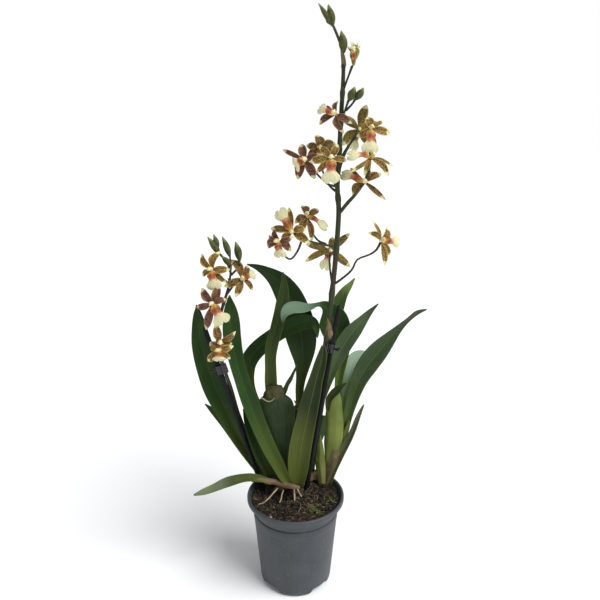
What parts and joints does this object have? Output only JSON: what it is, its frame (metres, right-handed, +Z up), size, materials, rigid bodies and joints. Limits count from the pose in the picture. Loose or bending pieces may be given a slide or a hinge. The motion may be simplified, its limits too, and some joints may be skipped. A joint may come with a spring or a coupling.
{
  "type": "potted orchid plant",
  "caption": "Flowering Oncidium-type orchid with strap leaves and staked, branched flower spikes, growing from pseudobulbs in bark in a round plastic nursery pot.",
  "frame": {"origin": "centre of the pot's underside, on the central pad that meets the table", "axes": "+Z up along the pot's axis, -Y towards the plant's front, +X to the right as seen from the front"},
  "size_m": [0.271, 0.182, 0.674],
  "materials": {
    "pot_plastic": "matte",
    "growing_medium": "matte",
    "stake_plastic": "satin",
    "clip_plastic": "gloss",
    "root": "matte",
    "rhizome": "matte",
    "bulb_green": "satin",
    "bulb_pale": "satin",
    "leaf": "satin",
    "sheath_green": "satin",
    "sheath_dry": "matte",
    "flower_stem": "satin",
    "petal": "matte",
    "bud": "matte"
  },
  "bodies": {
    "root": {"pot": "pot_plastic", "growing_medium": "growing_medium", "stake_right": "stake_plastic", "stake_left": "stake_plastic", "clip_right": "clip_plastic", "clip_left": "clip_plastic", "rhizome": "rhizome", "pseudobulb_centre": "bulb_green", "pseudobulb_right": "bulb_pale", "pseudobulb_back": "bulb_green", "bud_short_left": "bud", "bud_short_right": "bud", "bud_short_tip": "bud", "bud_tall_green": "bud", "bud_tall_open": "bud", "bud_tall_tip": "bud", "bud_tall_upper": "bud", "flower_short_01": "petal", "flower_short_02": "petal", "flower_short_03": "petal", "flower_short_04": "petal", "flower_short_05": "petal", "flower_tall_01": "petal", "flower_tall_02": "petal", "flower_tall_03": "petal", "flower_tall_04": "petal", "flower_tall_05": "petal", "flower_tall_06": "petal", "flower_tall_07": "petal", "flower_tall_08": "petal", "flower_tall_09": "petal", "flower_tall_10": "petal", "flower_tall_11": "petal", "flower_tall_12": "petal", "flower_tall_13": "petal", "leaf_back_centre": "leaf", "leaf_back_right": "leaf", "leaf_bulb_tall": "leaf", "leaf_bulb_thin": "leaf", "leaf_centre_arching": "leaf", "leaf_front": "leaf", "leaf_left_front": "leaf", "leaf_left_inner": "leaf", "leaf_left_low": "leaf", "leaf_left_outer": "leaf", "leaf_left_short": "leaf", "leaf_left_stub": "leaf", "leaf_right_bent": "leaf", "leaf_right_inner": "leaf", "leaf_right_narrow": "leaf", "leaf_right_outer": "leaf", "leaf_right_small": "leaf", "root_front": "root", "root_left": "root", "root_left_short": "root", "root_right": "root", "sheath_dry": "sheath_dry", "sheath_green": "sheath_green", "spike_short": "flower_stem", "spike_tall": "flower_stem"}
  },
  "joints": []
}
